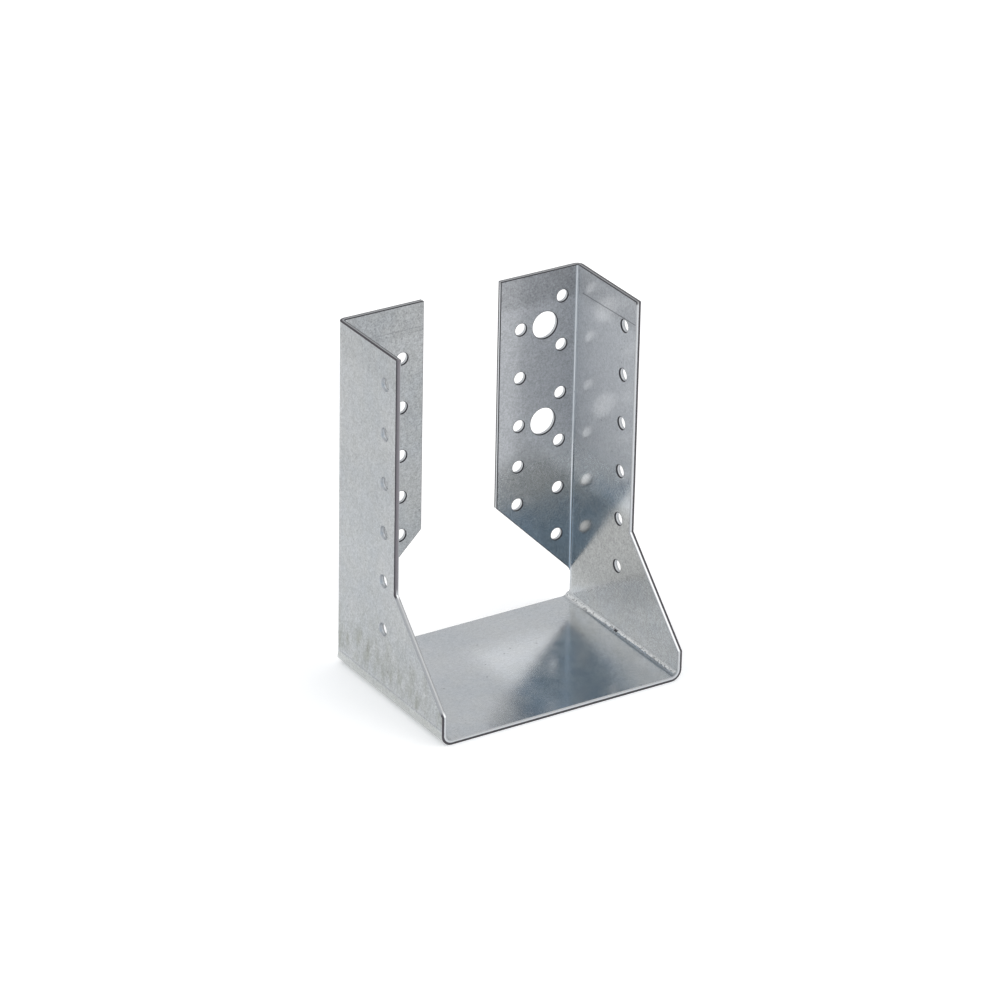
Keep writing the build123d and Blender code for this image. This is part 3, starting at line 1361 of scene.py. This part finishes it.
@dataclass
class Hanger:
    """The whole hanger: one folded sheet."""

    blank: Blank
    holes: HolePattern
    edge: CutEdge
    finish: GalvanisedSteel
    hole_taper: float = 0.20 * MM

    def build(self) -> bpy.types.Object:
        """Builds, folds and dresses the sheet.

        Returns:
            The finished piece, which stands for the frame's hanger.
        """
        flat = FlatSheet(self.blank, self.holes, self.edge)
        blank_object = self.place("flat_blank", flat.mesh())
        nails = self.points("nail_points", self.holes.nails(self.blank))
        bolts = self.points("bolt_points", self.holes.bolt_centres(self.blank))
        section = self.rim_section()
        mesh = FoldingTree(self.blank, self.holes, self.edge).apply(
            blank_object, Nail_points=nails, Bolt_points=bolts, Rim_section=section,
            Nail_segments=flat.nail_segments, Bolt_segments=flat.bolt_segments,
            Material=self.finish.material(self.blank),
        )
        for helper in (blank_object, nails, bolts, section):
            bpy.data.objects.remove(helper)
        mesh.name = "hanger_sheet"
        piece = self.place("hanger_sheet", mesh)
        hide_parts(NODE)
        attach(piece, BODY)
        LOG.info("hanger_sheet: %d points, %d faces", len(mesh.vertices), len(mesh.polygons))
        return piece

    @staticmethod
    def place(name: str, data: bpy.types.ID) -> bpy.types.Object:
        """Puts data in the scene as an object at the origin.

        Args:
            name: The object's name.
            data: Its mesh, curve or camera.

        Returns:
            The object.
        """
        placed = bpy.data.objects.new(name, data)
        bpy.context.scene.collection.objects.link(placed)
        return placed

    def points(self, name: str, centres: list[Pair]) -> bpy.types.Object:
        """Makes a helper mesh with a loose point at each hole's centre.

        Args:
            name: The helper's name.
            centres: The centres, as u and v.

        Returns:
            The helper.
        """
        mesh = bpy.data.meshes.new(name)
        mesh.from_pydata([(u, v, 0.0) for u, v in centres], [], [])
        return self.place(name, mesh)

    def rim_section(self) -> bpy.types.Object:
        """Draws the section of a hole's rim, which runs towards the hole from its widest line.

        Returns:
            A helper curve.
        """
        section = self.edge.section(self.blank.thickness, self.hole_taper)
        curve = bpy.data.curves.new("rim_section", "CURVE")
        curve.dimensions = "3D"
        spline = curve.splines.new("POLY")
        spline.points.add(len(section) - 1)
        for point, (out, n) in zip(spline.points, section):
            point.co = (-out, -n, 0.0, 1.0)
        return self.place("rim_section", curve)


@dataclass(frozen=True)
class RoomPart:
    """A dimmer or brighter part of the room: its direction, core and reach in degrees, and its colour."""

    azimuth: float
    elevation: float
    core: float
    reach: float
    colour: Colour


@dataclass
class Studio:
    """The pale floor, the light and the camera.

    The light is a pale room, brighter overhead, with a bright side where the photograph was taken from, a
    dimmer one across from it, a bluish one behind on the left and a bright panel high up behind on the right.
    """

    eye: Triple = (-0.94879, -1.48057, 0.94077)
    azimuth: float = -32.543
    elevation: float = 26.329
    roll: float = 1.158
    lens: float = 189.54
    sensor: float = 36.0
    clip_end: float = 20.0
    overhead: Colour = (1.08, 1.07, 1.06)
    horizon: Colour = (0.80, 0.81, 0.82)
    horizon_top: float = 10.0
    overhead_foot: float = 32.0
    parts: tuple[RoomPart, ...] = (
        RoomPart(-36.0, 27.0, 8.0, 28.0, (1.30, 1.29, 1.28)),
        RoomPart(30.0, 30.0, 12.0, 40.0, (0.80, 0.81, 0.83)),
        RoomPart(-145.0, 27.0, 9.0, 32.0, (0.70, 0.90, 1.11)),
        RoomPart(134.0, 50.0, 8.0, 24.0, (1.90, 1.88, 1.85)),
    )
    floor_reach: float = 4.0
    floor_colour: Colour = (0.9, 0.9, 0.9)
    floor_roughness: float = 0.9
    floor_light: Colour = (1.0, 1.0, 1.0)
    floor_glow: float = 0.22

    def camera(self) -> None:
        """Places the camera at the photograph's viewing angle."""
        data = bpy.data.cameras.new("camera")
        data.lens = self.lens
        data.sensor_width = self.sensor
        data.clip_end = self.clip_end
        camera = Hanger.place("camera", data)
        turn = Matrix.Rotation(math.radians(self.azimuth), 4, "Z")
        pitch = Matrix.Rotation(math.radians(90 - self.elevation), 4, "X")
        roll = Matrix.Rotation(math.radians(self.roll), 4, "Z")
        camera.matrix_world = Matrix.Translation(Vector(self.eye)) @ turn @ pitch @ roll
        bpy.context.scene.camera = camera

    def floor(self) -> None:
        """Lays the pale floor, which glows a little to whoever looks at it and still takes the shadow."""
        mesh = bpy.data.meshes.new("floor")
        reach = self.floor_reach
        corners = [(-reach, -reach, 0), (reach, -reach, 0), (reach, reach, 0), (-reach, reach, 0)]
        mesh.from_pydata(corners, [], [(0, 1, 2, 3)])
        material = bpy.data.materials.new("pale_floor")
        material.use_nodes = True
        tree = ShaderTree(material.node_tree)
        inputs = material.node_tree.nodes["Principled BSDF"].inputs
        tree.plug(inputs["Base Color"], self.floor_colour)
        tree.plug(inputs["Roughness"], self.floor_roughness)
        tree.plug(inputs["Emission Color"], self.floor_light)
        rays = tree.node("ShaderNodeLightPath").outputs
        kinds = ("Camera", "Glossy", "Transmission")
        looks = [Value(tree.tree, rays["Is " + kind + " Ray"]) for kind in kinds]
        (functools.reduce(Value.most, looks) * self.floor_glow).feed(inputs["Emission Strength"])
        mesh.materials.append(material)
        Hanger.place("floor", mesh)

    def light(self) -> None:
        """Lights the world."""
        world = bpy.data.worlds.new("studio")
        bpy.context.scene.world = world
        world.use_nodes = True
        tree = ShaderTree(world.node_tree)
        direction = tree.node("ShaderNodeTexCoord").outputs["Generated"]
        low, high = (math.sin(math.radians(climb)) for climb in (self.horizon_top, self.overhead_foot))
        colour = tree.mix(tree.parts(direction)[2].ramp(low, high), self.horizon, self.overhead)
        for part in self.parts:
            turn, climb = math.radians(part.azimuth), math.radians(part.elevation)
            towards = (math.sin(turn) * math.cos(climb), math.cos(turn) * math.cos(climb), math.sin(climb))
            near = Value(tree.tree, tree.vector("DOT_PRODUCT", direction, towards).outputs["Value"])
            edge, core = (math.cos(math.radians(angle)) for angle in (part.reach, part.core))
            colour = tree.mix(near.ramp(edge, core), colour, part.colour)
        tree.plug(world.node_tree.nodes["Background"].inputs["Color"], colour)


def main() -> None:
    """Builds the hanger and its studio."""
    logging.basicConfig(level=logging.INFO, format="%(name)s: %(message)s")
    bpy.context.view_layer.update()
    low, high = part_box(NODE)
    blank = Blank(half_width=high.x, height=high.z, header_y=high.y, front_y=low.y)
    Hanger(blank, HolePattern(), CutEdge(), GalvanisedSteel()).build()
    studio = Studio()
    studio.camera()
    studio.floor()
    studio.light()
    bpy.context.scene.view_settings.view_transform = "Standard"


if __name__ == "__main__":
    main()
